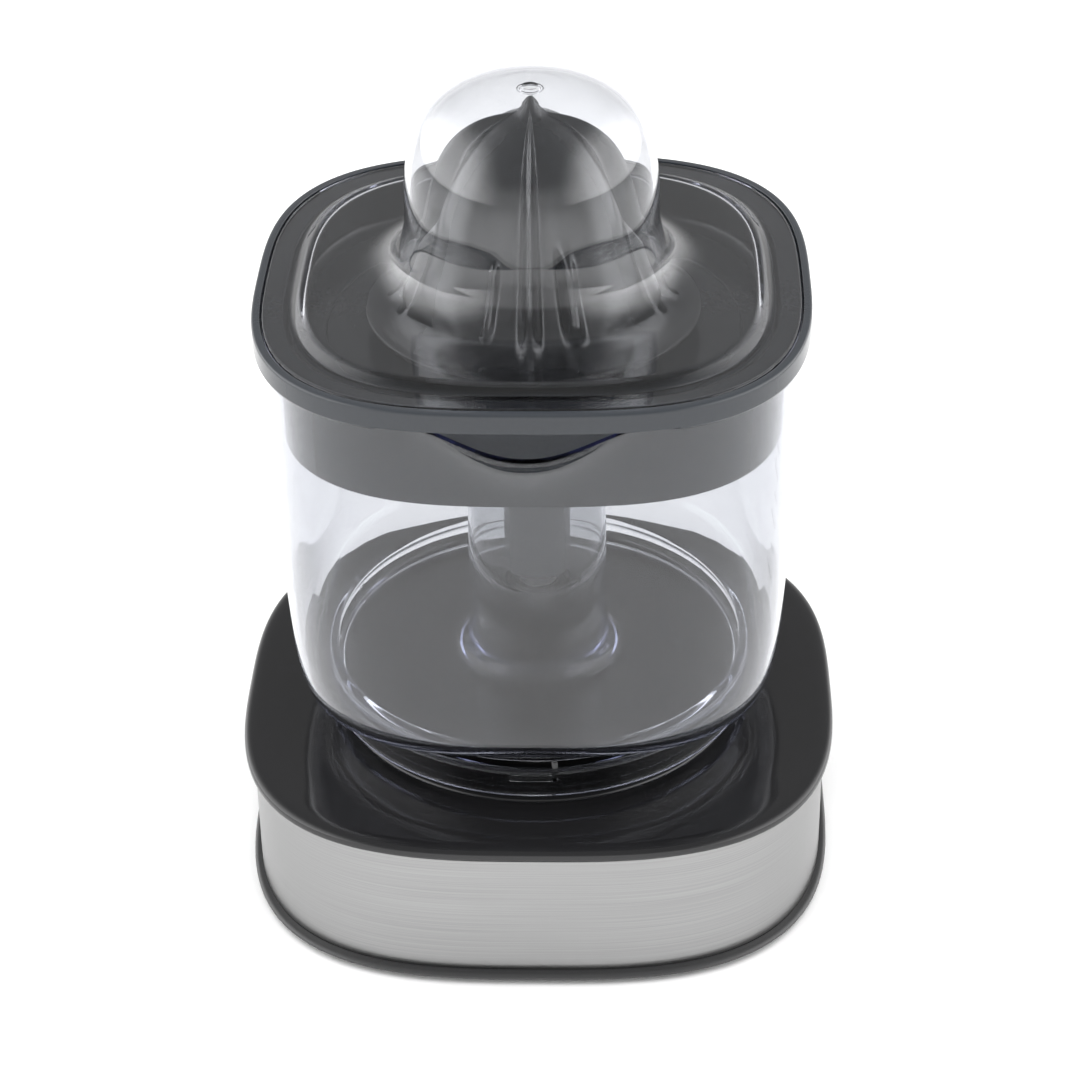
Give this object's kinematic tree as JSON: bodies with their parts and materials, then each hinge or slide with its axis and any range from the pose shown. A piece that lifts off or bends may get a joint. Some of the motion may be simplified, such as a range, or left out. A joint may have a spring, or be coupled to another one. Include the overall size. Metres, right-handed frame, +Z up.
{
  "type": "citrus press juicer",
  "caption": "Electric citrus press: square clear jug with spout over a black and brushed steel motor base, ribbed reamer, strainer basket and clear domed cover.",
  "frame": {"origin": "where the drive spindle's axis meets the surface the feet stand on", "axes": "+Z up along the spindle, -Y towards the pouring spout, +X to the right seen from the spout"},
  "size_m": [0.165, 0.1872, 0.2263],
  "materials": {
    "black_gloss": "high gloss moulded black",
    "black_satin": "fine satin moulded black",
    "brushed_steel": "horizontal brushed sheet",
    "clear_plastic": "clear polished moulding",
    "dark_gloss": "glossy dark moulding",
    "white_gear": "natural acetal",
    "steel_parts": "turned and zinc plated steel",
    "bronze": "sintered bronze",
    "copper_winding": "enamelled copper wire",
    "ferrite": "ground ferrite magnet",
    "rubber_black": "soft black rubber",
    "switch_plastic": "moulded switch body",
    "spring_steel": "drawn spring wire"
  },
  "bodies": {
    "base": {"lower_housing": "black_satin", "steel_band": "brushed_steel", "rear_cover": "black_satin", "top_cover": "black_gloss", "feet": "rubber_black", "housing_screws": "steel_parts", "cord_gland": "rubber_black", "gear_tray": "switch_plastic", "tray_screws": "steel_parts", "lower_bush": "bronze", "upper_bush": "bronze", "shaft_seal": "rubber_black", "gear_washer": "white_gear", "compound_axle": "steel_parts", "motor_case": "steel_parts", "motor_coil": "copper_winding", "motor_bearings": "bronze", "microswitch": "switch_plastic", "lever_pin": "steel_parts", "terminal_block": "white_gear"},
    "output_gear": {"output_gear": "white_gear", "press_spring": "spring_steel"},
    "compound_gear": {"compound_gear": "white_gear"},
    "rotor": {"motor_rotor": "ferrite", "motor_shaft": "steel_parts", "motor_pinion": "white_gear"},
    "spindle": {"spindle": "steel_parts", "spindle_circlip": "spring_steel", "spring_washer": "steel_parts"},
    "switch_lever": {"switch_lever": "spring_steel"},
    "switch_plunger": {"switch_plunger": "switch_plastic"},
    "jug": {"jug": "clear_plastic"},
    "strainer_basket": {"strainer_basket": "dark_gloss"},
    "drive_stem": {"drive_stem": "dark_gloss"},
    "reamer": {"reamer": "dark_gloss"},
    "dust_cover": {"dust_cover": "clear_plastic"}
  },
  "joints": [
    {"name": "gear_spin", "type": "hinge", "parent": "base", "child": "output_gear", "pos_m": [0, 0, 0.037], "axis": [0, 0, 1], "continuous": true},
    {"name": "compound_spin", "type": "hinge", "parent": "base", "child": "compound_gear", "pos_m": [0.036, 0, 0.035], "axis": [0, 0, 1], "continuous": true},
    {"name": "rotor_spin", "type": "hinge", "parent": "base", "child": "rotor", "pos_m": [0.036, 0.024, 0.015], "axis": [0, 0, 1], "continuous": true},
    {"name": "stem_spin", "type": "hinge", "parent": "strainer_basket", "child": "drive_stem", "pos_m": [0, 0, 0.16], "axis": [0, 0, 1], "continuous": true},
    {"name": "spindle_press", "type": "slide", "parent": "output_gear", "child": "spindle", "axis": [0, 0, 1], "range_m": [-0.002, 0], "stiffness_N_per_m": 1500, "springref_m": 0.003, "deforming": ["press_spring"]},
    {"name": "lever_tilt", "type": "hinge", "parent": "base", "child": "switch_lever", "pos_m": [-0.014, 0, 0.013], "axis": [0, 1, 0], "range_deg": [0, 8.3]},
    {"name": "plunger_push", "type": "slide", "parent": "base", "child": "switch_plunger", "axis": [0, 0, 1], "range_m": [-0.0015, 0]},
    {"name": "jug_lift", "type": "slide", "parent": "base", "child": "jug", "axis": [0, 0, 1], "range_m": [0, 0.075]},
    {"name": "basket_lift", "type": "slide", "parent": "jug", "child": "strainer_basket", "axis": [0, 0, 1], "range_m": [0, 0.075]},
    {"name": "cover_lift", "type": "slide", "parent": "strainer_basket", "child": "dust_cover", "axis": [0, 0, 1], "range_m": [0, 0.1]},
    {"name": "reamer_lift", "type": "slide", "parent": "drive_stem", "child": "reamer", "axis": [0, 0, 1], "range_m": [0, 0.04]}
  ],
  "couplings": [
    {"joint": "compound_spin", "follows": "rotor_spin", "ratio": -0.2},
    {"joint": "gear_spin", "follows": "rotor_spin", "ratio": 0.04},
    {"joint": "stem_spin", "follows": "rotor_spin", "ratio": 0.04},
    {"joint": "lever_tilt", "follows": "spindle_press", "rad_per_m": -71.43},
    {"joint": "plunger_push", "follows": "spindle_press", "ratio": 0.71},
    {"joint": "reamer_lift", "follows": "cover_lift", "ratio": 0.4}
  ]
}
